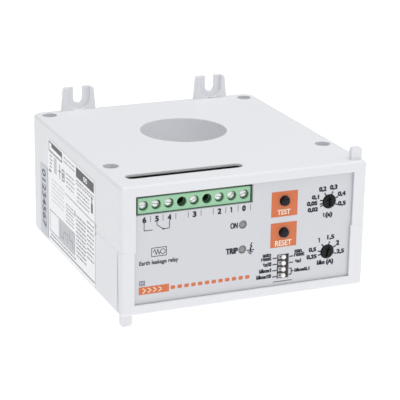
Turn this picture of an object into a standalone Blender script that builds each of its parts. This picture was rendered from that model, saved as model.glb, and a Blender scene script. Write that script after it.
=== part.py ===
"""Earth-leakage relay with its own ring transformer, for screwing to a panel.

The origin is the centre of the four fixing lugs, on the plane of the panel. The front looks along -Y and
the cable passage runs along Z. Sizes are in millimetres here, and every mesh is scaled to metres as it is
made. "Depth" is the distance behind the bezel's face.
"""

import math

import bmesh
import bpy

MM = 0.001

# Case: two mouldings that meet at mid-height, one of them turned over about the Y axis.
CASE_WIDTH = 100.0
CASE_DEPTH = 109.4
CASE_HEIGHT = 50.2
HALF_WIDTH = CASE_WIDTH / 2
HALF_HEIGHT = CASE_HEIGHT / 2
FRONT = -CASE_DEPTH
WALL = 2.0
PARTING_GAP = 0.3
FRONT_CORNER_RADIUS = 1.5
REAR_CORNER_RADIUS = 4.0
RIM_ROUNDING = 1.3
BEYOND = 1.0  # how far a cutter runs past the face that it cuts

# Bezel and fascia plate.
LIP_THICKNESS = 0.9
WINDOW_LEFT = -44.0
WINDOW_RIGHT = 44.5
WINDOW_HALF_HEIGHT = 21.1
CLEARANCE = 0.3
FASCIA_THICKNESS = 1.5
FASCIA_DEPTH = LIP_THICKNESS + CLEARANCE
FASCIA_HALF_WIDTH = 46.6
FASCIA_HALF_HEIGHT = 22.3
POCKET_BACK = FASCIA_DEPTH + FASCIA_THICKNESS + CLEARANCE
INTERIOR_START = POCKET_BACK + 1.5
INNER_HALF_WIDTH = HALF_WIDTH - WALL
INNER_HALF_HEIGHT = HALF_HEIGHT - WALL

# Cable passage, with a collar on each half that holds the ring core.
PASSAGE_RADIUS = 17.5
PASSAGE_Y = -45.65
TUBE_RADIUS = PASSAGE_RADIUS + 1.8
COLLAR_RADIUS = 23.0
COLLAR_END = 9.4

# Case screws in their wells.
SCREW_X = 44.2
SCREW_ROWS = {"front": -82.5, "rear": -6.6}
BOSS_RADIUS = 4.2
WELL_RADIUS = 3.0
WELL_FLOOR = 4.0
SHANK_RADIUS = 1.4
SCREW_LENGTH = 18.0
PILOT_DEPTH = 16.0

# Fixing lugs: open U slots, each in a wider U recess for the screw's head.
LUG_X = 30.0
LUG_HEIGHT = 9.8
LUG_THICKNESS = 3.3
LUG_BASE_HALF_WIDTH = 7.3
LUG_TIP_HALF_WIDTH = 6.4
LUG_SLOT_RADIUS = 2.1
LUG_RECESS_RADIUS = 4.75
LUG_RECESS_DEPTH = 1.6
LUG_CENTRE = HALF_HEIGHT + 4.9

# Cover tab, and the groove down the same edge of the moulding.
TAB_LEFT = 44.4
TAB_RIGHT = 48.9
TAB_HEIGHT = 5.0
TAB_DEPTHS = (2.8, 5.0)
TAB_CORNER_RADIUS = 1.2
GROOVE_DEPTHS = (2.8, 4.2)
GROOVE_CUT = 0.8

# Nine-way terminal block. The fitted ways carry the numbers printed under them.
WAY_PITCH = 5.0
WAY_COUNT = 9
FIRST_WAY_X = -40.5
FITTED_WAYS = {0: "6", 1: "5", 2: "4", 4: "3", 6: "2", 7: "1", 8: "0"}
SCREW_TURNS = {0: 0, 1: 5, 2: 8, 4: -32, 6: 12, 7: -38, 8: -15}
TERMINAL_LEFT = -42.7
TERMINAL_RIGHT = 2.0
TERMINAL_FACE = 1.9
TERMINAL_Z = 16.75
TERMINAL_TOP = 21.0
TERMINAL_BOTTOM = 11.8
TERMINAL_BACK = 15.6
HEAD_HOLE_RADIUS = 1.9
CHAMBER_DEPTHS = (4.9, 13.8)
CHAMBER_HEIGHTS = (12.6, 19.0)
CHAMBER_HALF_WIDTH = 2.05
WIRE_DEPTHS = (10.0, 13.0)
WIRE_HALF_WIDTH = 1.6
WIRE_SLOT_LEFT = -43.9
WIRE_SLOT_RIGHT = 2.8
WIRE_SLOT_DEPTHS = (9.2, 14.3)
SLOT_WALL_UNDERSIDE = HALF_HEIGHT - 1.1
CONTACT_LEG_Z = 13.4

# Circuit board behind the fascia.
BOARD_DEPTH = 16.0
BOARD_THICKNESS = 1.6
BOARD_BACK = BOARD_DEPTH + BOARD_THICKNESS
BOARD_HALF_WIDTH = 46.3
BOARD_HALF_HEIGHT = 21.6
MOUNTED_AT = BOARD_DEPTH - CLEARANCE
HUNG_FROM = BOARD_BACK + CLEARANCE

# Controls on the fascia: x and z of each.
BUTTONS = {"test": (15.95, 12.6), "reset": (15.95, 0.0)}
BUTTON_RADIUS = 1.8
LAMPS = {"on": (-1.05, 5.1), "trip": (-1.05, -4.8)}
LAMP_RADIUS = 1.5
DIALS = {"time": (34.8, 10.2), "current": (34.8, -10.1)}
DIAL_RADIUS = 2.6
DIAL_REST_TURN = {"time": -10.0, "current": 8.0}
SWITCH_X = 16.1
SWITCH_Z = -13.85
SWITCH_WINDOW = (13.6, 18.6, -18.6, -8.75)
SLIDERS = ("slider_reset_mode", "slider_time_range", "slider_current_x1", "slider_current_x10")
SLIDER_PITCH = 2.5
SLIDER_X = 16.45
SLIDER_HALF_WIDTH = 0.75
SLIDER_HALF_HEIGHT = 0.7

# Ring core and windings round the passage.
CORE_RADII = (21.6, 29.0)
CORE_HALF_HEIGHT = 7.5
WINDING_THICKNESS = 0.9

FINISHES = {
    "case_grey": ((0.77, 0.78, 0.80), 0.45, 0.0),
    "fascia_grey": ((0.66, 0.67, 0.71), 0.50, 0.0),
    "label_white": ((0.88, 0.88, 0.90), 0.55, 0.0),
    "label_blue": ((0.66, 0.69, 0.78), 0.55, 0.0),
    "terminal_green": ((0.16, 0.44, 0.25), 0.50, 0.0),
    "bright_zinc": ((0.75, 0.75, 0.74), 0.30, 1.0),
    "tinned_brass": ((0.70, 0.66, 0.55), 0.35, 1.0),
    "black_plastic": ((0.02, 0.02, 0.03), 0.45, 0.0),
    "white_plastic": ((0.90, 0.90, 0.88), 0.45, 0.0),
    "lamp_grey": ((0.30, 0.31, 0.33), 0.25, 0.0),
    "board_green": ((0.04, 0.20, 0.10), 0.50, 0.0),
    "relay_blue": ((0.05, 0.12, 0.28), 0.40, 0.0),
    "core_steel": ((0.35, 0.35, 0.37), 0.45, 1.0),
    "ferrite_blue": ((0.10, 0.15, 0.24), 0.60, 0.0),
    "copper_wire": ((0.62, 0.27, 0.10), 0.40, 1.0),
}


def clear_scene():
    for obj in list(bpy.data.objects):
        bpy.data.objects.remove(obj, do_unlink=True)


def finish(obj, name):
    """Gives an object its own Principled material."""
    colour, roughness, metallic = FINISHES[name]
    material = bpy.data.materials.new(f"{obj.name}_{name}")
    material.use_nodes = True
    shader = material.node_tree.nodes["Principled BSDF"]
    shader.inputs["Base Color"].default_value = (*colour, 1.0)
    shader.inputs["Roughness"].default_value = roughness
    shader.inputs["Metallic"].default_value = metallic
    obj.data.materials.append(material)
    return obj


def make_object(name, mesh_builder, at=(0, 0, 0)):
    """Turns a bmesh in millimetres into an object in metres, standing at a place in millimetres."""
    bmesh.ops.recalc_face_normals(mesh_builder, faces=mesh_builder.faces)
    bmesh.ops.scale(mesh_builder, vec=(MM, MM, MM), verts=mesh_builder.verts)
    mesh = bpy.data.meshes.new(name)
    mesh_builder.to_mesh(mesh)
    mesh_builder.free()
    mesh.shade_smooth()
    mesh.set_sharp_from_angle(angle=math.radians(35))
    obj = bpy.data.objects.new(name, mesh)
    obj.location = [value * MM for value in at]
    bpy.context.scene.collection.objects.link(obj)
    return obj


def arc(x, y, radius, start, end, steps):
    """Points along an arc, between angles in degrees, both ends included."""
    turns = [math.radians(start + (end - start) * step / steps) for step in range(steps + 1)]
    return [(x + radius * math.cos(turn), y + radius * math.sin(turn)) for turn in turns]


def circle(x, y, radius, steps):
    return arc(x, y, radius, 0, 360, steps)[:-1]


def rectangle(left, right, low, high):
    return [(left, low), (right, low), (right, high), (left, high)]


def rounded_rectangle(left, right, low, high, low_radius, high_radius, steps=3):
    """A rectangle with one corner radius on its low side and another on its high side."""
    near, far = low_radius, high_radius
    return (
        arc(left + near, low + near, near, 180, 270, steps)
        + arc(right - near, low + near, near, 270, 360, steps)
        + arc(right - far, high - far, far, 0, 90, steps)
        + arc(left + far, high - far, far, 90, 180, steps)
    )


def stadium(left, right, low, high, steps=10):
    """A slot with round ends, longer across than it is high."""
    radius = (high - low) / 2
    middle = (low + high) / 2
    return arc(right - radius, middle, radius, -90, 90, steps) + arc(left + radius, middle, radius, 90, 270, steps)


def prism(name, outline, axis, low, high, at=(0, 0, 0), rim_rounding=0.0):
    """Extrudes an outline along X, Y or Z. The outline holds the two other coordinates, in X, Y, Z order."""
    place = {
        "X": lambda point: (low, point[0], point[1]),
        "Y": lambda point: (point[0], low, point[1]),
        "Z": lambda point: (point[0], point[1], low),
    }[axis]
    shift = [(high - low) * (letter == axis) for letter in "XYZ"]
    shape = bmesh.new()
    face = shape.faces.new([shape.verts.new(place(point)) for point in outline])
    extruded = bmesh.ops.extrude_face_region(shape, geom=[face])["geom"]
    bmesh.ops.translate(shape, vec=shift, verts=[item for item in extruded if isinstance(item, bmesh.types.BMVert)])
    if rim_rounding:
        index = "XYZ".index(axis)
        rim = [edge for edge in shape.edges if all(abs(v.co[index] - high) < 1e-4 for v in edge.verts)]
        bmesh.ops.bevel(shape, geom=rim, offset=rim_rounding, segments=3, profile=0.5, affect="EDGES")
    return make_object(name, shape, at)


def box(name, x, y, z, at=(0, 0, 0)):
    """A block between two values of each coordinate."""
    return prism(name, rectangle(*x, *y), "Z", *z, at=at)


def cylinder(name, centre, radius, axis, low, high, steps=24, at=(0, 0, 0)):
    return prism(name, circle(*centre, radius, steps), axis, low, high, at=at)


def turned(name, profile, at=(0, 0, 0), steps=24, closed=False):
    """Spins a profile of (radius, depth) points about the Y axis."""
    shape = bmesh.new()
    points = [shape.verts.new((radius, depth, 0)) for radius, depth in profile]
    pairs = list(zip(points, points[1:]))
    if closed:
        pairs.append((points[-1], points[0]))
    edges = [shape.edges.new(pair) for pair in pairs]
    bmesh.ops.spin(
        shape, geom=points + edges, cent=(0, 0, 0), axis=(0, 1, 0), angle=math.tau, steps=steps, use_merge=True
    )
    bmesh.ops.remove_doubles(shape, verts=shape.verts, dist=1e-4)
    return make_object(name, shape, at)


def combine(target, tool, operation):
    """Adds a Boolean of a tool that follows its target, and keeps the tool out of the model."""
    tool.parent = target
    tool.hide_render = True
    tool.display_type = "WIRE"
    modifier = target.modifiers.new(tool.name, "BOOLEAN")
    modifier.operation = operation
    modifier.object = tool


def cut(target, *tools):
    for tool in tools:
        combine(target, tool, "DIFFERENCE")


def join(target, *tools):
    for tool in tools:
        combine(target, tool, "UNION")


def row(tool):
    """Repeats a cutter in every way of the terminal block."""
    modifier = tool.modifiers.new("ways", "ARRAY")
    modifier.count = WAY_COUNT
    modifier.use_relative_offset = False
    modifier.use_constant_offset = True
    modifier.constant_offset_displace = (WAY_PITCH * MM, 0, 0)
    return tool


# The case.


def behind(*depths):
    """The Y values of some depths behind the bezel's face."""
    return [FRONT + depth for depth in depths]


def hollow_out(half):
    cut(
        half,
        box(
            "interior",
            (-INNER_HALF_WIDTH, INNER_HALF_WIDTH),
            (FRONT + INTERIOR_START, -WALL),
            (-BEYOND, INNER_HALF_HEIGHT),
        ),
        box("fascia_pocket", (-47, 47), behind(LIP_THICKNESS, POCKET_BACK), (-BEYOND, 22.7)),
        box("window", (WINDOW_LEFT, WINDOW_RIGHT), behind(-BEYOND, INTERIOR_START + BEYOND), (-BEYOND, WINDOW_HALF_HEIGHT)),
        box(
            "groove",
            (HALF_WIDTH - GROOVE_CUT, HALF_WIDTH + BEYOND),
            behind(*GROOVE_DEPTHS),
            (-BEYOND, HALF_HEIGHT + BEYOND),
        ),
    )


def add_passage(half):
    centre = (0, PASSAGE_Y)
    inside_wall = INNER_HALF_HEIGHT + BEYOND
    join(
        half,
        cylinder("passage_tube", centre, TUBE_RADIUS, "Z", PARTING_GAP / 2, inside_wall, 64),
        cylinder("core_collar", centre, COLLAR_RADIUS, "Z", COLLAR_END, inside_wall, 48),
    )
    cut(half, cylinder("passage", centre, PASSAGE_RADIUS, "Z", -BEYOND, HALF_HEIGHT + BEYOND, 64))


def add_bosses(half, has_wells):
    for side in (-1, 1):
        for y in SCREW_ROWS.values():
            centre = (side * SCREW_X, y)
            join(half, cylinder("boss", centre, BOSS_RADIUS, "Z", 0.5, INNER_HALF_HEIGHT + BEYOND, 28))
            if has_wells:
                cut(
                    half,
                    cylinder("well", centre, WELL_RADIUS, "Z", WELL_FLOOR, HALF_HEIGHT + BEYOND, 32),
                    cylinder("clearance_hole", centre, SHANK_RADIUS + CLEARANCE, "Z", -BEYOND, WELL_FLOOR + BEYOND, 16),
                )
            else:
                cut(half, cylinder("pilot_hole", centre, SHANK_RADIUS + 0.2, "Z", -BEYOND, PILOT_DEPTH, 16))


def add_board_ribs(half):
    for side in (-1, 1):
        across = sorted((side * (BOARD_HALF_WIDTH - 0.8), side * (INNER_HALF_WIDTH + 0.5)))
        for depths in ((MOUNTED_AT - 1.5, MOUNTED_AT), (HUNG_FROM, HUNG_FROM + 1.5)):
            join(half, box("board_rib", across, behind(*depths), (0.5, INNER_HALF_HEIGHT + 0.4)))


def add_lug(half, x):
    base, tip = LUG_BASE_HALF_WIDTH, LUG_TIP_HALF_WIDTH
    foot, top = INNER_HALF_HEIGHT + 0.2, HALF_HEIGHT + LUG_HEIGHT
    outline = [(x - base, foot), (x + base, foot), (x + base, HALF_HEIGHT)]
    outline += [(x + tip, top - 0.6), (x + tip - 0.6, top), (x - tip + 0.6, top), (x - tip, top - 0.6)]
    outline += [(x - base, HALF_HEIGHT)]
    join(half, prism("lug", outline, "Y", -LUG_THICKNESS, 0))
    for name, radius, low in (
        ("lug_recess", LUG_RECESS_RADIUS, -LUG_THICKNESS - BEYOND),
        ("lug_slot", LUG_SLOT_RADIUS, -LUG_THICKNESS),
    ):
        high = low + BEYOND + LUG_RECESS_DEPTH if name == "lug_recess" else BEYOND
        open_u = arc(x, LUG_CENTRE, radius, 180, 360, 14) + [(x + radius, top + BEYOND), (x - radius, top + BEYOND)]
        cut(half, prism(name, open_u, "Y", low, high))


def add_tab(half):
    outline = [(TAB_LEFT, INNER_HALF_HEIGHT + 0.7), (TAB_RIGHT, INNER_HALF_HEIGHT + 0.7)]
    top, radius = HALF_HEIGHT + TAB_HEIGHT, TAB_CORNER_RADIUS
    outline += arc(TAB_RIGHT - radius, top - radius, radius, 0, 90, 4)
    outline += arc(TAB_LEFT + radius, top - radius, radius, 90, 180, 4)
    join(half, prism("tab", outline, "Y", *behind(*TAB_DEPTHS)))


def add_wire_slot(half):
    slot = stadium(WIRE_SLOT_LEFT, WIRE_SLOT_RIGHT, *behind(*WIRE_SLOT_DEPTHS))
    cut(
        half,
        box("terminal_pocket", (-44.3, 3.3), behind(7.6, 22.0), (HALF_HEIGHT - 4, SLOT_WALL_UNDERSIDE)),
        prism("wire_slot", slot, "Z", SLOT_WALL_UNDERSIDE - 1, HALF_HEIGHT + BEYOND),
    )


def case_half(name, is_upper):
    """One moulding, built as the upper half. The lower one is turned over about the Y axis."""
    outline = rounded_rectangle(
        -HALF_WIDTH, HALF_WIDTH, FRONT, 0, FRONT_CORNER_RADIUS, REAR_CORNER_RADIUS, steps=4
    )
    half = prism(name, outline, "Z", PARTING_GAP / 2, HALF_HEIGHT, rim_rounding=RIM_ROUNDING)
    hollow_out(half)
    add_passage(half)
    add_bosses(half, has_wells=is_upper)
    add_board_ribs(half)
    for side in (-1, 1):
        add_lug(half, side * LUG_X)
    add_tab(half)
    if is_upper:
        add_wire_slot(half)
    else:
        half.rotation_euler = (0, math.pi, 0)
    return finish(half, "case_grey")


def case_screws():
    """Pan-head screws, head down in their wells, that pull the two halves together."""
    for row_name, y in SCREW_ROWS.items():
        for side, side_name in ((-1, "left"), (1, "right")):
            seat = WELL_FLOOR + CLEARANCE
            profile = [(0, 0), (1.7, 0), (2.5, 0.6), (2.6, 1.9), (SHANK_RADIUS, 1.9)]
            profile += [(SHANK_RADIUS, SCREW_LENGTH - 1.2), (0.5, SCREW_LENGTH), (0, SCREW_LENGTH)]
            name = f"case_screw_{row_name}_{side_name}"
            screw = turned(name, profile, at=(side * SCREW_X, y, seat + 1.9), steps=16)
            for number, (x_reach, z_reach) in enumerate(((1.6, 0.3), (0.3, 1.6))):
                recess = box(f"{name}_recess_{number}", (-x_reach, x_reach), (-0.5, 1.0), (-z_reach, z_reach))
                cut(screw, recess)
            screw.rotation_euler = (-math.pi / 2, 0, 0)
            finish(screw, "bright_zinc")


# Fascia, labels and circuit board.


def fascia_plate():
    plate = prism(
        "fascia_plate",
        rectangle(-FASCIA_HALF_WIDTH, FASCIA_HALF_WIDTH, -FASCIA_HALF_HEIGHT, FASCIA_HALF_HEIGHT),
        "Y",
        *behind(FASCIA_DEPTH, FASCIA_DEPTH + FASCIA_THICKNESS),
    )
    through = behind(FASCIA_DEPTH - BEYOND, FASCIA_DEPTH + FASCIA_THICKNESS + BEYOND)
    cut(
        plate,
        prism("terminal_window", rectangle(-43.9, 2.85, 13.35, 20.6), "Y", *through),
        prism("switch_window", rectangle(*SWITCH_WINDOW), "Y", *through),
        prism("seal_slit", rectangle(12.1, 20.1, -19.95, -19.55), "Y", *through),
    )
    holes = [(place, BUTTON_RADIUS + CLEARANCE) for place in BUTTONS.values()]
    holes += [(place, LAMP_RADIUS + 0.15) for place in LAMPS.values()]
    holes += [(place, DIAL_RADIUS + CLEARANCE) for place in DIALS.values()]
    for centre, radius in holes:
        cut(plate, cylinder("fascia_hole", centre, radius, "Y", *through, steps=32))
    return finish(plate, "fascia_grey")


def side_labels():
    """Two stickers on the left face, each a hair clear of it."""
    surface = -HALF_WIDTH - 0.05
    for name, outline, look in (
        ("rating_label", [(-81.2, -23.5), (-22.9, -23.9), (-22.9, 20.4), (-81.2, 18.9)], "label_white"),
        ("serial_label", rectangle(-21.9, -11.9, -23.3, 7.0), "label_blue"),
    ):
        finish(prism(name, outline, "X", surface - 0.2, surface), look)


def control_board():
    board = prism(
        "control_board",
        rectangle(-BOARD_HALF_WIDTH, BOARD_HALF_WIDTH, -BOARD_HALF_HEIGHT, BOARD_HALF_HEIGHT),
        "Y",
        *behind(BOARD_DEPTH, BOARD_BACK),
    )
    through = behind(BOARD_DEPTH - BEYOND, BOARD_BACK + BEYOND)
    cut(board, row(cylinder("leg_hole", (FIRST_WAY_X, CONTACT_LEG_Z), 1.15, "Y", *through, steps=12)))
    return finish(board, "board_green")


# Terminal block.


def funnel(name, x, bottom, top):
    """A wire entry's tapered mouth, wider at the top."""
    shape = bmesh.new()
    rings = []
    for half_width, depths, z in (bottom, top):
        corners = rectangle(x - half_width, x + half_width, *behind(*depths))
        rings.append([shape.verts.new((*corner, z)) for corner in corners])
        shape.faces.new(rings[-1])
    edges = [shape.edges.get((ring[i], ring[i - 1])) for ring in rings for i in range(4)]
    bmesh.ops.bridge_loops(shape, edges=edges)
    return make_object(name, shape)


def terminal_housing():
    outline = [(1.9, 13.8), (3.2, 13.8), (3.2, TERMINAL_BOTTOM), (TERMINAL_BACK, TERMINAL_BOTTOM)]
    outline += [(TERMINAL_BACK, TERMINAL_TOP), (7.6, TERMINAL_TOP), (5.2, 19.7), (1.9, 19.7)]
    outline = [(FRONT + depth, z) for depth, z in outline]
    housing = prism("terminal_housing", outline, "X", TERMINAL_LEFT, TERMINAL_RIGHT)
    x = FIRST_WAY_X
    screw_axis = (x, TERMINAL_Z)
    chamber = (x - CHAMBER_HALF_WIDTH, x + CHAMBER_HALF_WIDTH)
    wire = (x - WIRE_HALF_WIDTH, x + WIRE_HALF_WIDTH)
    mouth = (2.35, (WIRE_DEPTHS[0] - 0.85, WIRE_DEPTHS[1] + 0.85), TERMINAL_TOP + 0.2)
    throat = (WIRE_HALF_WIDTH - 0.05, (WIRE_DEPTHS[0] + 0.05, WIRE_DEPTHS[1] - 0.05), TERMINAL_TOP - 1.4)
    tools = (
        cylinder("head_hole", screw_axis, HEAD_HOLE_RADIUS, "Y", *behind(TERMINAL_FACE - BEYOND, 4.3)),
        cylinder("shank_hole", screw_axis, 1.5, "Y", *behind(4.0, 5.2), steps=16),
        box("chamber", chamber, behind(*CHAMBER_DEPTHS), CHAMBER_HEIGHTS),
        box("wire_entry", wire, behind(*WIRE_DEPTHS), (CHAMBER_HEIGHTS[1] - 0.5, TERMINAL_TOP + BEYOND)),
        funnel("wire_mouth", x, throat, mouth),
        box("leg_slot", (x - 0.9, x + 0.9), behind(13.3, TERMINAL_BACK + BEYOND), (12.75, 14.1)),
    )
    for tool in tools:
        cut(housing, row(tool))
    return finish(housing, "terminal_green")


def terminal_way(way, label):
    """One rising-cage clamp: a captive screw, the cage that it draws up, and the fixed contact bar."""
    x = FIRST_WAY_X + way * WAY_PITCH
    at = (x, FRONT, TERMINAL_Z)

    profile = [(0, 2.9), (1.45, 2.9), (1.65, 3.1), (1.65, 4.0), (1.1, 4.0), (1.1, 8.8), (0.7, 9.2), (0, 9.2)]
    screw = turned(f"terminal_screw_{label}", profile, at=at, steps=20)
    cut(screw, box(f"screw_slot_{label}", (-2, 2), (2.0, 3.5), (-0.28, 0.28)))
    screw.rotation_euler = (0, math.radians(SCREW_TURNS[way]), 0)
    finish(screw, "bright_zinc")

    cage = box(f"clamp_cage_{label}", (-1.85, 1.85), (7.2, 13.3), (-1.8, 1.8), at=at)
    cut(
        cage,
        box(f"cage_opening_{label}", (-1.3, 1.3), (8.4, 12.6), (-1.8 - BEYOND, 1.8 + BEYOND)),
        cylinder(f"cage_thread_{label}", (0, 0), 1.35, "Y", 7.2 - BEYOND, 8.4 + 0.2, steps=16),
    )
    finish(cage, "bright_zinc")

    leg_low, leg_high = CONTACT_LEG_Z - 0.4, CONTACT_LEG_Z + 0.4
    bar = [(9.5, leg_low), (BOARD_BACK + 0.6, leg_low), (BOARD_BACK + 0.6, leg_high)]
    bar += [(10.3, leg_high), (10.3, 18.7), (9.5, 18.7)]
    bar = [(FRONT + depth, z) for depth, z in bar]
    finish(prism(f"contact_bar_{label}", bar, "X", x - 0.75, x + 0.75), "tinned_brass")


# Controls.


def push_button(name, place):
    x, z = place
    at = (x, FRONT, z)
    radius = BUTTON_RADIUS
    profile = [(0, -0.6), (radius - 0.35, -0.6), (radius - 0.1, -0.5), (radius, -0.25), (radius, 13.0)]
    profile += [(radius + 0.55, 13.0), (radius + 0.55, 13.8), (1.2, 13.8), (1.2, 14.6), (0, 14.6)]
    finish(turned(f"{name}_button", profile, at=at), "black_plastic")

    body = box(f"{name}_switch_body", (-3.1, 3.1), (11.9, MOUNTED_AT), (-3.1, 3.1), at=at)
    cut(
        body,
        cylinder(f"{name}_bore", (0, 0), radius + CLEARANCE, "Y", 11.9 - BEYOND, 12.9),
        cylinder(f"{name}_chamber", (0, 0), radius + 0.85, "Y", 12.7, 15.2),
    )
    finish(body, "black_plastic")


def indicator_lamp(name, place):
    x, z = place
    at = (x, FRONT, z)
    lens = [(0, 1.35), (LAMP_RADIUS - 0.2, 1.35), (LAMP_RADIUS, 1.55), (LAMP_RADIUS, 5.0)]
    lens += [(LAMP_RADIUS + 0.4, 5.0), (LAMP_RADIUS + 0.4, 5.8), (0, 5.8)]
    finish(turned(f"{name}_lamp", lens, at=at, steps=20), "lamp_grey")
    spacer = [(1.3, 6.1), (2.1, 6.1), (2.1, MOUNTED_AT), (1.3, MOUNTED_AT)]
    finish(turned(f"{name}_lamp_spacer", spacer, at=at, steps=16, closed=True), "black_plastic")


def setting_dial(name, place):
    """A screwdriver-set rotor with an arrow-shaped slot, in its trimmer body."""
    x, z = place
    at = (x, FRONT, z)
    radius = DIAL_RADIUS
    profile = [(0, 0.9), (radius - 0.3, 0.9), (radius, 1.15), (radius, 4.0), (2.0, 4.0), (2.0, 12.6), (0, 12.6)]
    dial = turned(f"{name}_dial", profile, at=at, steps=28)
    arrow = [(-0.42, -1.9), (0.42, -1.9), (0.42, 0.5), (1.15, 0.5), (0, 2.1), (-1.15, 0.5), (-0.42, 0.5)]
    cut(dial, prism(f"{name}_arrow", arrow, "Y", 0, 1.8))
    dial.rotation_euler = (0, math.radians(DIAL_REST_TURN[name]), 0)
    finish(dial, "black_plastic")

    body = prism(f"{name}_trimmer_body", rounded_rectangle(-5, 5, -5, 5, 0.8, 0.8), "Y", 10.5, MOUNTED_AT, at=at)
    cut(body, cylinder(f"{name}_rotor_bore", (0, 0), 2.4, "Y", 10.5 - BEYOND, 13.0))
    finish(body, "black_plastic")


def slide_switch():
    at = (SWITCH_X, FRONT, SWITCH_Z)
    body = box("slide_switch_body", (-3.4, 3.4), (3.0, 7.6), (-5.9, 5.9), at=at)
    join(body, box("switch_nose", (-2.3, 2.3), (1.7, 3.5), (-4.55, 4.75)))
    heights = [SLIDER_PITCH * (1.5 - number) for number in range(len(SLIDERS))]
    for name, height in zip(SLIDERS, heights):
        cut(body, box(f"{name}_channel", (-1.8, 1.4), (1.0, 3.8), (height - 0.95, height + 0.95)))
        knob = rounded_rectangle(
            -SLIDER_HALF_WIDTH, SLIDER_HALF_WIDTH, -SLIDER_HALF_HEIGHT, SLIDER_HALF_HEIGHT, 0.3, 0.3, steps=2
        )
        slider = prism(name, knob, "Y", 0.9, 3.5, at=(SLIDER_X, FRONT, SWITCH_Z + height))
        finish(slider, "white_plastic")
    finish(body, "black_plastic")
    socket = box("slide_switch_socket", (-3.2, 3.2), (7.9, MOUNTED_AT), (-5.7, 5.7), at=at)
    finish(socket, "black_plastic")


# Parts hung behind the board.


def output_relay():
    case = prism("output_relay", rounded_rectangle(-38, -22.5, -8, 11.5, 0.7, 0.7), "Y", *behind(HUNG_FROM, 32.9))
    skirt = rectangle(-38.4, -22.1, -8.4, 11.9)
    join(case, prism("relay_skirt", skirt, "Y", *behind(HUNG_FROM, HUNG_FROM + 2.0)))
    return finish(case, "relay_blue")


def mains_transformer():
    """A laminated core with two windows, and the coil that passes through them round the middle leg."""
    x, y = -1.0, FRONT + 25.15
    core = box("transformer_core", (-15, 15), (-4.5, 4.5), (-12.5, 12.5), at=(x, y, 0))
    for side in (-1, 1):
        across = sorted((side * 5.0, side * 10.0))
        cut(core, box("core_window", across, (-4.5 - BEYOND, 4.5 + BEYOND), (-7.5, 7.5)))
    finish(core, "core_steel")
    winding = box("transformer_winding", (-9.7, 9.7), (-7.2, 7.2), (-7.2, 7.2), at=(x, y, 0))
    cut(winding, box("middle_leg_space", (-5.3, 5.3), (-4.8, 4.8), (-7.2 - BEYOND, 7.2 + BEYOND)))
    finish(winding, "copper_wire")


def smoothing_capacitors():
    for number, z in enumerate((-12.0, 12.0), start=1):
        profile = [(0, 0), (4.4, 0), (5.0, 0.5), (5.0, 2.0), (4.6, 2.5), (5.0, 3.0), (5.0, 15.4), (4.5, 16), (0, 16)]
        at = (24.0, FRONT + HUNG_FROM, z)
        finish(turned(f"smoothing_capacitor_{number}", profile, at=at), "black_plastic")


def ring_core():
    inner, outer = CORE_RADII
    core = cylinder("ring_core", (0, 0), outer, "Z", -CORE_HALF_HEIGHT, CORE_HALF_HEIGHT, 60, at=(0, PASSAGE_Y, 0))
    hole = cylinder("core_hole", (0, 0), inner, "Z", -CORE_HALF_HEIGHT - BEYOND, CORE_HALF_HEIGHT + BEYOND, 60)
    cut(core, hole)
    return finish(core, "ferrite_blue")


def winding_sleeve(name, start, end):
    """A winding as a sleeve round a stretch of the ring core, open at both ends."""
    inner, outer = CORE_RADII
    skins = []
    for space in (CLEARANCE, CLEARANCE + WINDING_THICKNESS):
        reach = CORE_HALF_HEIGHT + space
        skins.append([(inner - space, -reach), (outer + space, -reach), (outer + space, reach), (inner - space, reach)])
    shape = bmesh.new()
    across, along = math.cos(math.radians(start)), math.sin(math.radians(start))
    verts = [[shape.verts.new((radius * across, radius * along, z)) for radius, z in skin] for skin in skins]
    for ring in verts:
        for corner, next_corner in zip(ring, ring[1:] + ring[:1]):
            shape.edges.new((corner, next_corner))
    face_ring = bmesh.ops.bridge_loops(shape, edges=list(shape.edges))["faces"]
    steps = round((end - start) / 10)
    bmesh.ops.spin(
        shape, geom=face_ring, cent=(0, 0, 0), axis=(0, 0, 1), angle=math.radians(end - start), steps=steps
    )
    return finish(make_object(name, shape, at=(0, PASSAGE_Y, 0)), "copper_wire")


def sensor_lead():
    """The windings' lead, from the ring to the back of the board."""
    route = [(-19.3, HUNG_FROM, -2.0), (-19.3, 21.0, -2.0), (-19.5, 26.0, -3.2), (-19.6, 31.0, -4.0)]
    route += [(-19.5, 35.5, -3.4), (-19.3, 39.6, -2.2)]
    curve = bpy.data.curves.new("sensor_lead", "CURVE")
    curve.dimensions = "3D"
    curve.bevel_depth = 0.9 * MM
    curve.bevel_resolution = 2
    curve.use_fill_caps = True
    spline = curve.splines.new("POLY")
    spline.points.add(len(route) - 1)
    for point, (x, depth, z) in zip(spline.points, route):
        point.co = (x * MM, (FRONT + depth) * MM, z * MM, 1)
    lead = bpy.data.objects.new("sensor_lead", curve)
    bpy.context.scene.collection.objects.link(lead)
    return finish(lead, "black_plastic")


def build():
    clear_scene()
    case_half("upper_case_half", is_upper=True)
    case_half("lower_case_half", is_upper=False)
    case_screws()
    fascia_plate()
    side_labels()
    control_board()
    terminal_housing()
    for way, label in FITTED_WAYS.items():
        terminal_way(way, label)
    for name, place in BUTTONS.items():
        push_button(name, place)
    for name, place in LAMPS.items():
        indicator_lamp(name, place)
    for name, place in DIALS.items():
        setting_dial(name, place)
    slide_switch()
    output_relay()
    mains_transformer()
    smoothing_capacitors()
    ring_core()
    winding_sleeve("secondary_winding", 100, 290)
    winding_sleeve("test_winding", 310, 370)
    sensor_lead()


build()
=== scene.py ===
"""Looks of the earth-leakage relay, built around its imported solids.

Sizes are in millimetres until a piece is made. The front looks along -Y, the cable passage runs along Z,
and the origin lies on the mounting panel, between the four lugs.
"""

import math
import bpy
from mathutils import Matrix, Vector


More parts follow.
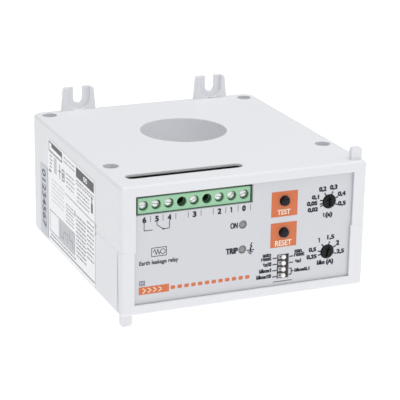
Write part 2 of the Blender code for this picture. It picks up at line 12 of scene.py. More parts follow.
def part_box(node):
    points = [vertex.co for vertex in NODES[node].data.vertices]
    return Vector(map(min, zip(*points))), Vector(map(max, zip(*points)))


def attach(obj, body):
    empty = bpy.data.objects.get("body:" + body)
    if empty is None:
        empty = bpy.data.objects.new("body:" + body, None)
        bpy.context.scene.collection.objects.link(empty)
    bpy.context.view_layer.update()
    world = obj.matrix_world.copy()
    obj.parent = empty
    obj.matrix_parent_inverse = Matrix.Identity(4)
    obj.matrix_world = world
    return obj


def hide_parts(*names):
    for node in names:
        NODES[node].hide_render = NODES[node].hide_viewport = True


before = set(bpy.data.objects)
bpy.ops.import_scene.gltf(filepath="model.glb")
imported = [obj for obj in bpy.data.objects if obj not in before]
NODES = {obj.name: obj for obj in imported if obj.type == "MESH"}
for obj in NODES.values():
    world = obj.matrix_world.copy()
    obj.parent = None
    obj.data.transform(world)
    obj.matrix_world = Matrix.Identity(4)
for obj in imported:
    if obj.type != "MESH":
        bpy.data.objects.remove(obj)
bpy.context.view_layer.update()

MM = 0.001
BODY = "relay"
TAU = 2 * math.pi


def low_corner(node):
    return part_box(node)[0] / MM


def high_corner(node):
    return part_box(node)[1] / MM


def middle_of(node):
    return (low_corner(node) + high_corner(node)) / 2


FRONT = low_corner("lower_case_half").y
FILM = low_corner("fascia_plate").y  # the fascia's printed face
LEFT_FACE = low_corner("rating_label").x
LABEL_SKIN = 0.05  # how much thinner a sticker is than its solid, so that its print stays inside
PRINT_LIFT = 0.01
PRINT_THICKNESS = 0.03
CLEAR = 1.0  # how far a cutting tool passes a face


# Working by hand in a viewport.


def only(piece):
    """Leaves one piece selected and active."""
    bpy.ops.object.select_all(action="DESELECT")
    piece.select_set(True)
    bpy.context.view_layer.objects.active = piece


def settle(name):
    """Names the newest piece and moves its place, turn and size into its mesh."""
    piece = bpy.context.object
    piece.name = piece.data.name = name
    only(piece)
    bpy.ops.object.transform_apply(location=True, rotation=True, scale=True)
    return piece


def slab(name, x, y, z, turn=0.0):
    """A block between two values of each coordinate, turned about its own middle in the fascia's plane."""
    sides = (x, y, z)
    bpy.ops.mesh.primitive_cube_add(
        size=1,
        location=[(low + high) / 2 * MM for low, high in sides],
        rotation=(0, turn, 0),
        scale=[(high - low) * MM for low, high in sides],
    )
    return settle(name)


def lathe(name, centre, profile, sides=40):
    """A round piece on an axis along Y: a disc, extruded and resized once for each step of its profile."""
    radius, y = profile[0]
    bpy.ops.mesh.primitive_circle_add(
        vertices=sides,
        radius=radius * MM,
        fill_type="NGON",
        location=(centre[0] * MM, y * MM, centre[1] * MM),
        rotation=(math.pi / 2, 0, 0),
    )
    piece = settle(name)
    bpy.ops.object.mode_set(mode="EDIT")
    bpy.ops.mesh.select_all(action="SELECT")
    for next_radius, next_y in profile[1:]:
        step = (0, (next_y - y) * MM, 0)
        bpy.ops.mesh.extrude_region_move(TRANSFORM_OT_translate={"value": step})
        ratio = next_radius / radius
        bpy.ops.transform.resize(value=(ratio, 1, ratio))
        radius, y = next_radius, next_y
    bpy.ops.mesh.select_all(action="SELECT")
    bpy.ops.mesh.normals_make_consistent(inside=False)
    bpy.ops.object.mode_set(mode="OBJECT")
    return piece


def select_edges(piece, wanted):
    """Enters edit mode with the edges selected whose two ends both pass a test on their place."""
    only(piece)
    bpy.ops.object.mode_set(mode="EDIT")
    bpy.ops.mesh.select_mode(type="EDGE")
    bpy.ops.mesh.select_all(action="DESELECT")
    bpy.ops.object.mode_set(mode="OBJECT")
    corners = piece.data.vertices
    for edge in piece.data.edges:
        edge.select = all(wanted(corners[index].co / MM) for index in edge.vertices)
    bpy.ops.object.mode_set(mode="EDIT")


def round_corners(piece, axis, radius, segments=4, wanted=lambda place: True):
    """Rounds the edges that run along one axis (0 for X, 1 for Y, 2 for Z) and pass a test on their place."""
    select_edges(piece, lambda place: False)
    bpy.ops.object.mode_set(mode="OBJECT")
    corners = piece.data.vertices
    for edge in piece.data.edges:
        start, end = (corners[index].co for index in edge.vertices)
        along = end - start
        edge.select = abs(along[axis]) > 0.99 * along.length and wanted(start / MM)
    bpy.ops.object.mode_set(mode="EDIT")
    bpy.ops.mesh.bevel(offset=radius * MM, segments=segments, affect="EDGES")
    bpy.ops.object.mode_set(mode="OBJECT")
    return piece


def apply_modifier(piece, kind, **settings):
    modifier = piece.modifiers.new(kind.lower(), kind)
    for key, value in settings.items():
        setattr(modifier, key, value)
    only(piece)
    bpy.ops.object.modifier_apply(modifier=modifier.name)


def carve(piece, *tools):
    """Cuts tools out of a piece and throws them away."""
    for tool in tools:
        apply_modifier(piece, "BOOLEAN", operation="DIFFERENCE", object=tool, solver="EXACT")
        bpy.data.objects.remove(tool, do_unlink=True)


def smooth(piece, degrees=35):
    """Shades a piece smooth across edges that are blunter than an angle."""
    only(piece)
    bpy.ops.object.shade_smooth_by_angle(angle=math.radians(degrees))


def level_faces(piece):
    """Lets the broad faces decide the normals, so that they stay flat beside their rounded edges."""
    apply_modifier(piece, "WEIGHTED_NORMAL", mode="FACE_AREA", weight=100, keep_sharp=True)


def merged_copy(node, name):
    """A copy of a solid with its loose triangles joined into whole faces."""
    piece = bpy.data.objects.new(name, NODES[node].data.copy())
    bpy.context.scene.collection.objects.link(piece)
    only(piece)
    piece.data.materials.clear()
    bpy.ops.mesh.customdata_custom_splitnormals_clear()
    bpy.ops.object.mode_set(mode="EDIT")
    bpy.ops.mesh.select_all(action="SELECT")
    bpy.ops.mesh.remove_doubles(threshold=0.00001)
    bpy.ops.mesh.dissolve_limited(angle_limit=math.radians(0.5))
    bpy.ops.object.mode_set(mode="OBJECT")
    return piece


def softened(node, name, width, degrees=40):
    """A merged copy of a solid with its sharp edges broken."""
    piece = merged_copy(node, name)
    apply_modifier(
        piece,
        "BEVEL",
        width=width * MM,
        segments=2,
        limit_method="ANGLE",
        angle_limit=math.radians(degrees),
        use_clamp_overlap=False,
    )
    smooth(piece)
    return piece


def join_pieces(name, pieces):
    """Makes one piece of several."""
    only(pieces[0])
    if len(pieces) > 1:
        for piece in pieces:
            piece.select_set(True)
        bpy.ops.object.join()
    whole = bpy.context.object
    whole.name = whole.data.name = name
    return whole


def fit(piece, material, body=BODY, stands_for=()):
    """Gives a piece its finish and the body that it moves with."""
    piece.data.materials.clear()
    piece.data.materials.append(material)
    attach(piece, body)
    if stands_for:
        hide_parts(*stands_for)
    return piece


# Finishes.


def new_group(name, inputs, outputs):
    """An empty shader group with named sockets, and its two ends."""
    group = bpy.data.node_groups.new(name, "ShaderNodeTree")
    kinds = {"value": "NodeSocketFloat", "colour": "NodeSocketColor"}
    for label, kind, default in inputs:
        socket = group.interface.new_socket(name=label, in_out="INPUT", socket_type=kinds[kind])
        socket.default_value = default
    for label, kind in outputs:
        group.interface.new_socket(name=label, in_out="OUTPUT", socket_type=kinds[kind])
    return group, group.nodes.new("NodeGroupInput"), group.nodes.new("NodeGroupOutput")


def add_node(tree, kind, links=None, **settings):
    """Adds a node, sets its sockets (capitalised) and properties, and links what feeds it."""
    made = tree.nodes.new(kind)
    for key, value in settings.items():
        label = key.replace("_", " ")
        if key[0].isupper():
            made.inputs[label].default_value = value
        else:
            setattr(made, key, value)
    for target, source in (links or {}).items():
        tree.links.new(source, made.inputs[target])
    return made


def maths(tree, operation, first, second):
    """One sum, in which a number is set on the socket and anything else is linked to it."""
    made = tree.nodes.new("ShaderNodeMath")
    made.operation = operation
    for index, value in enumerate((first, second)):
        if isinstance(value, (int, float)):
            made.inputs[index].default_value = value
        else:
            tree.links.new(value, made.inputs[index])
    return made.outputs["Value"]


def blend_colours(tree, amount, first, second):
    """The colour between two, each of which may be a value or a socket."""
    made = tree.nodes.new("ShaderNodeMix")
    made.data_type = "RGBA"
    for label, value in ((0, amount), (6, first), (7, second)):
        if isinstance(value, (int, float, tuple)):
            made.inputs[label].default_value = value
        else:
            tree.links.new(value, made.inputs[label])
    return made.outputs[2]


def noise(tree, place, scale, detail=3.0, roughness=0.55):
    """A noise pattern on object coordinates, whose scale may be a number or a socket."""
    made = add_node(tree, "ShaderNodeTexNoise", {"Vector": place}, Detail=detail, Roughness=roughness)
    if isinstance(scale, (int, float)):
        made.inputs["Scale"].default_value = scale
    else:
        tree.links.new(scale, made.inputs["Scale"])
    return made.outputs["Fac"]


DUST = (0.45, 0.43, 0.40, 1)
DUST_AMOUNT = 0.05
# RECESS_SHADOW is painted shade: a dark green blended into the colour by depth behind a front, standing in
# for the shade that falls in holes and recesses.
RECESS_SHADOW = (0.008, 0.03, 0.014, 1)
RECESS_RATE = 900.0  # how fast a recess darkens, for each metre behind its front
RECESS_START = 0.45  # how far behind the terminal block's front it starts
RELIEF = 0.00002  # how deep a finish's grain is, in metres


def moulded_plastic_group():
    """Spark-textured moulding: fine grain, slow flow marks in the colour and the gloss, a little dust, and
    painted shade that darkens recesses behind a given front."""
    group, start, end = new_group(
        "moulded_plastic",
        [
            ("Colour", "colour", (0.8, 0.8, 0.8, 1)),
            ("Flow Colour", "colour", (0.7, 0.7, 0.7, 1)),
            ("Flow", "value", 0.3),
            ("Roughness", "value", 0.45),
            ("Gloss Change", "value", 0.12),
            ("Grain Scale", "value", 1800.0),
            ("Grain Depth", "value", 1.0),
            ("Front", "value", 0.0),
            ("Recess Shade", "value", 0.0),
        ],
        [("Colour", "colour"), ("Roughness", "value"), ("Height", "value")],
    )
    place = group.nodes.new("ShaderNodeTexCoord").outputs["Object"]
    grain = noise(group, place, start.outputs["Grain Scale"], 4.0, 0.6)
    flow = noise(group, place, 28.0, 2.0)
    speck = noise(group, place, 420.0, 2.0)
    marks = maths(group, "MULTIPLY", flow, start.outputs["Flow"])
    tint = blend_colours(group, marks, start.outputs["Colour"], start.outputs["Flow Colour"])
    specks = maths(group, "MULTIPLY", maths(group, "GREATER_THAN", speck, 0.70), DUST_AMOUNT)
    tint = blend_colours(group, specks, tint, DUST)
    across = add_node(group, "ShaderNodeSeparateXYZ", {"Vector": place}).outputs["Y"]
    # Painted shade: the colour darkens with depth behind the front, up to the Recess Shade amount.
    depth = maths(group, "MULTIPLY", maths(group, "SUBTRACT", across, start.outputs["Front"]), RECESS_RATE)
    shade = maths(group, "MINIMUM", maths(group, "MAXIMUM", depth, 0.0), start.outputs["Recess Shade"])
    tint = blend_colours(group, shade, tint, RECESS_SHADOW)
    change = maths(group, "MULTIPLY", maths(group, "SUBTRACT", flow, 0.5), start.outputs["Gloss Change"])
    gloss = maths(group, "ADD", start.outputs["Roughness"], change)
    gloss = maths(group, "ADD", gloss, maths(group, "MULTIPLY", grain, 0.05))
    height = maths(group, "MULTIPLY", grain, start.outputs["Grain Depth"])
    group.links.new(tint, end.inputs["Colour"])
    group.links.new(gloss, end.inputs["Roughness"])
    group.links.new(height, end.inputs["Height"])
    return group


def plated_metal_group():
    """Bright plating with drawn lines across it and clouded patches."""
    group, start, end = new_group(
        "plated_metal",
        [
            ("Colour", "colour", (0.8, 0.8, 0.8, 1)),
            ("Cloud Colour", "colour", (0.5, 0.5, 0.52, 1)),
            ("Roughness", "value", 0.25),
            ("Line Scale", "value", 2500.0),
        ],
        [("Colour", "colour"), ("Roughness", "value"), ("Height", "value")],
    )
    place = group.nodes.new("ShaderNodeTexCoord").outputs["Object"]
    drawn = add_node(group, "ShaderNodeMapping", {"Vector": place}, Scale=(0.15, 1.0, 1.0))
    lines = noise(group, drawn.outputs["Vector"], start.outputs["Line Scale"], 3.0)
    clouds = noise(group, place, 600.0, 3.0)
    tint = blend_colours(group, clouds, start.outputs["Colour"], start.outputs["Cloud Colour"])
    gloss = maths(group, "ADD", start.outputs["Roughness"], maths(group, "MULTIPLY", lines, 0.18))
    group.links.new(tint, end.inputs["Colour"])
    group.links.new(gloss, end.inputs["Roughness"])
    group.links.new(lines, end.inputs["Height"])
    return group


def banded_group():
    """Regular bands, for turns of wire and for stacked sheets of steel."""
    group, start, end = new_group(
        "banded",
        [
            ("Colour", "colour", (0.6, 0.3, 0.1, 1)),
            ("Gap Colour", "colour", (0.2, 0.08, 0.03, 1)),
            ("Roughness", "value", 0.35),
            ("Band Scale", "value", 900.0),
        ],
        [("Colour", "colour"), ("Roughness", "value"), ("Height", "value")],
    )
    place = group.nodes.new("ShaderNodeTexCoord").outputs["Object"]
    bands = add_node(group, "ShaderNodeTexWave", {"Vector": place}, wave_type="BANDS", bands_direction="Y")
    bands.inputs["Distortion"].default_value = 0.6
    group.links.new(start.outputs["Band Scale"], bands.inputs["Scale"])
    tint = blend_colours(group, bands.outputs["Fac"], start.outputs["Gap Colour"], start.outputs["Colour"])
    spread = noise(group, place, 300.0, 2.0)
    gloss = maths(group, "ADD", start.outputs["Roughness"], maths(group, "MULTIPLY", spread, 0.15))
    group.links.new(tint, end.inputs["Colour"])
    group.links.new(gloss, end.inputs["Roughness"])
    group.links.new(bands.outputs["Fac"], end.inputs["Height"])
    return group


def finish(name, group, bump, metallic=0.0, specular=0.5, coat=0.0, **settings):
    """A material whose colour, gloss and relief come from one of the groups."""
    material = bpy.data.materials.new(name)
    material.use_nodes = True
    tree = material.node_tree
    shader = tree.nodes["Principled BSDF"]
    shader.inputs["Metallic"].default_value = metallic
    shader.inputs["Specular IOR Level"].default_value = specular
    shader.inputs["Coat Weight"].default_value = coat
    pattern = tree.nodes.new("ShaderNodeGroup")
    pattern.node_tree = group
    for key, value in settings.items():
        label = key.replace("_", " ")
        pattern.inputs[label].default_value = (*value, 1) if isinstance(value, tuple) else value
    height = {"Height": pattern.outputs["Height"]}
    relief = add_node(tree, "ShaderNodeBump", height, Strength=bump, Distance=RELIEF)
    tree.links.new(pattern.outputs["Colour"], shader.inputs["Base Color"])
    tree.links.new(pattern.outputs["Roughness"], shader.inputs["Roughness"])
    tree.links.new(relief.outputs["Normal"], shader.inputs["Normal"])
    return material


def make_finishes():
    plastic, metal, banded = moulded_plastic_group(), plated_metal_group(), banded_group()
    terminal_face = (low_corner("terminal_housing").y + RECESS_START) * MM

    def moulded(name, bump, colour, flow_colour, roughness, grain, **more):
        """A moulding, film, paper or ink with faint flow marks."""
        more = {"Flow": 0.3, "Gloss_Change": 0.1, **more}
        return finish(name, plastic, bump, Colour=colour, Flow_Colour=flow_colour, Roughness=roughness,
                      Grain_Scale=grain, **more)

    def ink(name, colour, flow_colour, roughness=0.5):
        return moulded(name, 0.1, colour, flow_colour, roughness, 3500.0)

    return {
        "case": moulded("case_plastic", 0.35, (0.80, 0.81, 0.838), (0.765, 0.777, 0.805), 0.42, 2200.0),
        "film": moulded("fascia_film", 0.15, (0.672, 0.680, 0.716), (0.645, 0.655, 0.69), 0.38, 3500.0),
        "label": moulded("label_paper", 0.2, (0.925, 0.93, 0.955), (0.905, 0.912, 0.937), 0.35, 2500.0),
        "serial": moulded("serial_paper", 0.2, (0.59, 0.61, 0.67), (0.565, 0.585, 0.64), 0.40, 2500.0),
        # The terminal block's holes and ways get painted shade, growing darker behind its front.
        "green": moulded("terminal_nylon", 0.25, (0.358, 0.65, 0.42), (0.316, 0.60, 0.374), 0.40, 2600.0,
                         Front=terminal_face, Recess_Shade=0.74),
        "black": moulded("black_nylon", 0.25, (0.014, 0.016, 0.022), (0.022, 0.026, 0.036), 0.34, 3000.0),
        "switch": moulded("switch_moulding", 0.25, (0.045, 0.036, 0.042), (0.07, 0.058, 0.064), 0.45, 3000.0,
                          specular=0.3),
        "switch_floor": moulded("switch_floor_nylon", 0.2, (0.62, 0.60, 0.62), (0.55, 0.53, 0.55), 0.5,
                                3000.0),
        "white": moulded("white_nylon", 0.15, (0.95, 0.95, 0.94), (0.90, 0.90, 0.90), 0.32, 3000.0),
        "lamp": moulded("lamp_resin", 0.1, (0.25, 0.25, 0.25), (0.31, 0.31, 0.31), 0.22, 1500.0, coat=0.5),
        "button": moulded("button_nylon", 0.08, (0.005, 0.007, 0.012), (0.008, 0.011, 0.017), 0.10, 3000.0,
                          specular=0.25),
        "dial": moulded("dial_nylon", 0.25, (0.006, 0.010, 0.009), (0.009, 0.014, 0.013), 0.42, 3000.0,
                        specular=0.2),
        "board": moulded("board_resist", 0.3, (0.02, 0.13, 0.06), (0.03, 0.17, 0.08), 0.35, 500.0, coat=0.3),
        "relay": moulded("relay_case", 0.25, (0.03, 0.08, 0.22), (0.04, 0.10, 0.26), 0.38, 2200.0),
        "core": moulded("coated_core", 0.5, (0.05, 0.10, 0.20), (0.07, 0.13, 0.24), 0.5, 900.0),
        "orange": ink("orange_ink", (0.68, 0.176, 0.060), (0.63, 0.156, 0.053), 0.42),
        "ink": ink("dark_ink", (0.012, 0.014, 0.035), (0.02, 0.022, 0.045)),
        "grey_ink": ink("grey_ink", (0.16, 0.16, 0.19), (0.2, 0.2, 0.23)),
        "pale_ink": ink("pale_ink", (0.95, 0.80, 0.66), (0.92, 0.74, 0.58)),
        "label_ink": ink("label_ink", (0.085, 0.085, 0.095), (0.12, 0.12, 0.13)),
        "fine_ink": ink("fine_ink", (0.21, 0.21, 0.24), (0.26, 0.26, 0.29)),
        "wash_ink": ink("wash_ink", (0.58, 0.59, 0.63), (0.50, 0.51, 0.55)),
        "screw": finish("bright_zinc_plate", metal, 0.2, metallic=0.75, Colour=(1.0, 1.0, 1.0),
                        Cloud_Colour=(0.88, 0.88, 0.90), Roughness=0.28),
        "steel": finish("zinc_plate", metal, 0.25, metallic=1.0, Colour=(0.86, 0.86, 0.85),
                        Cloud_Colour=(0.66, 0.66, 0.67), Roughness=0.20),
        "brass": finish("tinned_brass", metal, 0.25, metallic=1.0, Colour=(0.78, 0.74, 0.64),
                        Cloud_Colour=(0.62, 0.57, 0.45), Roughness=0.26),
        "sheets": finish("steel_sheets", banded, 0.5, metallic=0.9, Colour=(0.30, 0.31, 0.33),
                         Gap_Colour=(0.08, 0.07, 0.07), Band_Scale=1000.0),
        "wire": finish("enamelled_wire", banded, 0.8, metallic=0.6, Colour=(0.55, 0.22, 0.07),
                       Gap_Colour=(0.18, 0.05, 0.02), Band_Scale=700.0),
    }


# Studio. The places and widths of the camera and the lights are in metres.


CAMERA_PLACE = (-0.234205, -0.619224, 0.201085)
CAMERA_TURN = 0.399231  # radians, from straight along +Y towards +X
CAMERA_DIP = 0.320788
CAMERA_ROLL = 0.016094
CAMERA_LENS = 143.26
SENSOR_WIDTH = 36.0
FLOOR_WIDTH = 8
FLOOR_MIDDLE = 1.5  # how far the floor's middle lies behind the panel
FLOOR_GAP = 0.6  # how far it lies below the lower lugs, in millimetres
FLOOR_GREY = 0.42
FLOOR_GLOW = 0.78
SKY_GLOW = 0.53
LIGHT_AIM = (0, -0.05, 0)
LIGHTS = (  # name, place, width of the square, power
    ("top_softbox", (0.1, -0.1, 0.9), 0.9, 4.75),
    ("front_softbox", (-0.5, -1.1, 0.6), 0.7, 1.0),
    ("key_light", (0.64, -0.79, 0.69), 0.3, 0.9),
)


def place_camera():
    """A long lens, above and to the left of the front."""
    turn, dip, roll = CAMERA_TURN, CAMERA_DIP, CAMERA_ROLL
    forward = Vector((math.sin(turn) * math.cos(dip), math.cos(turn) * math.cos(dip), -math.sin(dip)))
    right = Vector((math.cos(turn), -math.sin(turn), 0))
    up = right.cross(forward)
    across = right * math.cos(roll) + up * math.sin(roll)
    upright = up * math.cos(roll) - right * math.sin(roll)
    data = bpy.data.cameras.new("camera")
    data.lens = CAMERA_LENS
    data.sensor_width = SENSOR_WIDTH
    data.clip_start = 0.01
    camera = bpy.data.objects.new("camera", data)
    bpy.context.scene.collection.objects.link(camera)
    facing = Matrix((across, upright, -forward)).transposed().to_4x4()
    camera.matrix_world = Matrix.Translation(CAMERA_PLACE) @ facing
    bpy.context.scene.camera = camera


def softbox(name, place, width, power):
    bpy.ops.object.light_add(type="AREA", location=place)
    lamp = bpy.context.object
    lamp.name = name
    lamp.data.shape = "RECTANGLE"
    lamp.data.size = lamp.data.size_y = width
    lamp.data.energy = power
    lamp.rotation_euler = (Vector(LIGHT_AIM) - Vector(place)).to_track_quat("-Z", "Y").to_euler()


def lay_floor():
    level = (low_corner("lower_case_half").z - FLOOR_GAP) * MM
    bpy.ops.mesh.primitive_plane_add(size=FLOOR_WIDTH, location=(0, FLOOR_MIDDLE, level))
    floor = settle("studio_floor")
    material = bpy.data.materials.new("pale_floor")
    material.use_nodes = True
    shader = material.node_tree.nodes["Principled BSDF"]
    shader.inputs["Base Color"].default_value = (FLOOR_GREY, FLOOR_GREY, FLOOR_GREY, 1)
    shader.inputs["Roughness"].default_value = 0.9
    shader.inputs["Emission Color"].default_value = (1, 1, 1, 1)
    shader.inputs["Emission Strength"].default_value = FLOOR_GLOW
    floor.data.materials.append(material)


def build_studio():
    lay_floor()
    world = bpy.data.worlds.new("studio")
    world.use_nodes = True
    background = world.node_tree.nodes["Background"]
    background.inputs["Color"].default_value = (1, 1, 1, 1)
    background.inputs["Strength"].default_value = SKY_GLOW
    bpy.context.scene.world = world
    for light in LIGHTS:
        softbox(*light)
    bpy.context.scene.view_settings.view_transform = "Standard"


# Print on the fascia and on the labels.


def print_span():
    """The print's front and back."""
    return (FILM - PRINT_LIFT - PRINT_THICKNESS, FILM - PRINT_LIFT)


COPY_STEP = 0.002  # how far each copy of a letter stands in front of the last
UP_SHARE = 0.6  # how much of the boldness goes upwards


def embolden(piece, reach):
    """Thickens print by laying copies of it beside and above itself, each a hair in front of the last."""
    only(piece)
    bpy.ops.object.mode_set(mode="EDIT")
    for across, up in ((reach, 0), (0, reach * UP_SHARE)):
        bpy.ops.mesh.select_all(action="SELECT")
        step = (across * MM, -COPY_STEP * MM, up * MM)
        bpy.ops.mesh.duplicate_move(TRANSFORM_OT_translate={"value": step})
    bpy.ops.mesh.select_all(action="SELECT")
    bpy.ops.transform.translate(value=(-reach / 2 * MM, 0, -reach * UP_SHARE / 2 * MM))
    bpy.ops.object.mode_set(mode="OBJECT")
    return piece


def lettering(words, box, boldness, reads_down=False):
    """Words that fill a box on the fascia: left, right, bottom and top."""
    left, right, low, high = box
    across, tall = (high - low, right - left) if reads_down else (right - left, high - low)
    bpy.ops.object.text_add()
    text = bpy.context.object
    text.data.body = words
    text.data.extrude = 0.01
    text.data.offset = 0.01
    bpy.ops.object.convert(target="MESH")
    text = bpy.context.object
    only(text)
    bpy.ops.object.origin_set(type="ORIGIN_GEOMETRY", center="BOUNDS")
    width, height, depth = text.dimensions
    text.scale = (across * MM / width, tall * MM / height, PRINT_THICKNESS * MM / depth)
    text.rotation_euler = (math.pi / 2, math.pi / 2 if reads_down else 0, 0)
    text.location = ((left + right) / 2 * MM, sum(print_span()) / 2 * MM, (low + high) / 2 * MM)
    return embolden(settle("words"), boldness)


def shifted(pieces, distance):
    """Moves print towards the fascia by a hair, or away from it."""
    for piece in pieces:
        piece.location.y = distance * MM
        only(piece)
        bpy.ops.object.transform_apply(location=True, rotation=False, scale=False)
    return pieces


def set_back(pieces):
    return shifted(pieces, PRINT_LIFT / 2)


def set_forward(pieces):
    return shifted(pieces, -PRINT_LIFT / 2)


def stroke(start, end, width):
    """A straight line of ink between two points (x, z) of the fascia."""
    (x0, z0), (x1, z1) = start, end
    middle, length = ((x0 + x1) / 2, (z0 + z1) / 2), math.hypot(x1 - x0, z1 - z0)
    turn = -math.atan2(z1 - z0, x1 - x0)
    return slab(
        "stroke",
        (middle[0] - length / 2, middle[0] + length / 2),
        print_span(),
        (middle[1] - width / 2, middle[1] + width / 2),
        turn=turn,
    )


def path(points, width):
    return [stroke(start, end, width) for start, end in zip(points, points[1:])]


def outline(left, right, low, high, width):
    return path([(left, low), (right, low), (right, high), (left, high), (left, low)], width)


def print_piece(name, parts, material):
    return fit(join_pieces(name, parts), material)


# Words and their boxes on the fascia: left, right, bottom and top.
DARK_WORDS = [
    ("6", (-41.0, -39.8, 10.5, 12.6)),
    ("5", (-36.1, -34.9, 10.5, 12.6)),
    ("4", (-31.2, -30.0, 10.5, 12.6)),
    ("3", (-21.3, -20.1, 10.5, 12.6)),
    ("2", (-11.3, -10.1, 10.5, 12.6)),
    ("0", (-1.4, -0.2, 10.5, 12.6)),
    ("ON", (-6.1, -3.2, 4.0, 6.2)),
    ("TRIP", (-7.7, -3.0, -6.0, -3.8)),
    ("Earth leakage relay", (-42.3, -27.0, -6.5, -4.4)),
    ("0,2", (30.4, 33.3, 14.3, 16.3)),
    ("0,3", (35.0, 37.9, 14.6, 16.6)),
    ("0,4", (38.5, 41.6, 11.7, 13.6)),
    ("0,5", (38.7, 41.8, 7.8, 9.7)),
    ("0,1", (27.5, 30.3, 11.5, 13.3)),
    ("0,05", (25.5, 29.6, 9.1, 10.9)),
    ("0,02", (25.9, 30.0, 6.6, 8.4)),
    ("(s)", (33.5, 36.2, 3.7, 5.9)),
    ("1,5", (34.7, 37.5, -5.4, -3.5)),
    ("2", (38.6, 39.8, -8.0, -6.1)),
    ("2,5", (39.0, 42.0, -11.7, -9.8)),
    ("0,5", (27.0, 29.9, -9.6, -7.8)),
    ("0,25", (26.2, 30.2, -12.5, -10.7)),
    ("I\u0394n (A)", (30.7, 37.5, -15.6, -13.3)),
    ("auto", (7.6, 10.9, -9.2, -7.8)),
    ("reset", (7.0, 11.1, -10.7, -9.3)),
    ("x10", (8.5, 11.1, -13.0, -11.5)),
    ("I\u0394nx1", (6.3, 11.1, -15.4, -13.9)),
    ("I\u0394nx10", (5.2, 11.1, -17.8, -16.3)),
    ("man.", (20.9, 24.2, -9.0, -7.7)),
    ("reset", (20.8, 25.0, -10.4, -9.0)),
    ("x1", (22.0, 23.6, -13.0, -11.6)),
    ("I\u0394nx0,1", (21.2, 27.4, -16.8, -15.3)),
]
BOLDNESS = 0.31
THIN_WORDS = {"Earth leakage relay": 0.08, "auto": 0.2, "reset": 0.2, "man.": 0.2, "ON": 0.18}
ONES = [(-5.6, 10.5, 12.6), (31.5, -6.0, -4.1)]  # right edge, bottom and top
SMALL_TS = [(32.3, 4.0, 5.8), (7.7, -12.9, -11.5), (21.2, -12.9, -11.6)]  # left edge, bottom and top
TICK_REACH = (2.9, 4.1)  # from the dial's axis
TICK_WIDTH = 0.5
TIME_TICKS = (-25.5, 23, 70, 120, 168, 191, 205)
CURRENT_TICKS = (-18, 29, 78, 127, 172, 197)


def figure_one(right, low, high):
    width = 0.48
    stem = right - width / 2
    return path([(right - 0.7, high - 0.45), (stem, high - 0.1), (stem, low)], width)


def small_t(left, low, high):
    width, stem, foot = 0.4, left + 0.36, low + 0.32
    letter = path([(stem, high), (stem, foot), (stem + 0.34, low + width / 2)], width)
    letter.append(stroke((left, high - 0.45), (left + 0.8, high - 0.45), 0.3))
    return letter


def scale_ticks(node, angles):
    """Short radial lines round a dial."""
    centre = middle_of(node)
    ticks = []
    for angle in angles:
        along = Vector((math.cos(math.radians(angle)), math.sin(math.radians(angle))))
        start, end = (Vector((centre.x, centre.z)) + along * reach for reach in TICK_REACH)
        ticks.append(stroke(start, end, TICK_WIDTH))
    return ticks


def contact_symbol():
    """The output contact drawn under the first three terminals."""
    width = 0.26
    lines = path([(-40.5, 10.4), (-40.5, 7.4), (-37.2, 7.4)], width)
    lines += path([(-35.5, 10.3), (-35.5, 9.2), (-33.0, 7.3)], width)
    lines += path([(-30.6, 10.3), (-30.6, 7.4), (-32.7, 7.4)], width)
    lines.append(stroke((-33.4, 7.45), (-32.5, 7.25), 0.5))
    return lines


def relay_symbol():
    """A framed waveform passing through a ring."""
    width, radius, sides = 0.24, 0.95, 12
    lines = outline(-37.5, -31.7, -3.0, 0.3, width)
    wave = [(-36.9, -1.4), (-36.3, -0.3), (-35.7, -2.4), (-35.1, -0.3), (-34.6, -2.4), (-34.2, -1.4)]
    turns = [TAU * number / sides for number in range(sides + 1)]
    ring = [(-33.1 + radius * math.cos(turn), -1.35 + radius * math.sin(turn)) for turn in turns]
    return lines + path(wave, width) + path(ring, width)


def double_square():
    """The mark for double insulation."""
    return outline(-42.2, -40.2, -13.9, -12.2, 0.2) + outline(-41.7, -40.7, -13.45, -12.65, 0.2)


def earth_fault_symbol():
    """A fault arrow that strikes an earth mark."""
    lines = path([(2.9, -2.4), (2.2, -3.7), (2.9, -3.7), (2.3, -5.0)], 0.42)
    lines += path([(2.3, -4.3), (2.3, -6.2)], 0.5)
    for level, half in ((-5.4, 1.5), (-6.2, 1.0), (-6.9, 0.5)):
        lines.append(stroke((2.3 - half, level), (2.3 + half, level), 0.4))
    return lines


SLIDER_ROWS = ("reset_mode", "time_range", "current_x1", "current_x10")


def switch_leads():
    """Lines from the slide switch's rows to what each position means."""
    rows = [middle_of(f"slider_{name}").z for name in SLIDER_ROWS]
    width, bracket_width = 0.44, 0.42
    edge, bracket = 18.7, 19.7
    lines = [stroke((11.7, z), (13.5, z), width) for z in rows]
    lines += [stroke((edge, z), (20.4, z + 0.05), width) for z in rows[:2]]
    upper, lower = rows[2] + 0.2, rows[3] + 0.2
    between = (upper + lower) / 2
    lines += path([(edge, upper), (bracket, upper), (bracket, lower), (edge, lower)], bracket_width)
    lines.append(stroke((bracket, between), (20.7, between), bracket_width))
    return lines


FIELD_SIDES = (10.5, 21.4)
FIELD_HOLE = 2.15  # radius
DASH_START, DASH_PITCH, DASH_COUNT = -29.0, 2.755, 12
DASH_HALF_LENGTH = 0.9
DASH_LEVELS = (-16.85, -15.4)
DASH_ROUNDING = 0.45


def orange_square(button, low, high):
    """A square field with a hole for its button."""
    field = slab("field", FIELD_SIDES, print_span(), (low, high))
    centre = middle_of(button)
    bpy.ops.mesh.primitive_cylinder_add(
        vertices=48,
        radius=FIELD_HOLE * MM,
        depth=CLEAR * MM,
        location=(centre.x * MM, FILM * MM, centre.z * MM),
        rotation=(math.pi / 2, 0, 0),
    )
    carve(field, settle("field_hole"))
    return field


def orange_dash(number):
    middle = DASH_START + DASH_PITCH * number
    sides = (middle - DASH_HALF_LENGTH, middle + DASH_HALF_LENGTH)
    dash = slab("dash", sides, print_span(), DASH_LEVELS)
    return round_corners(dash, 1, DASH_ROUNDING)


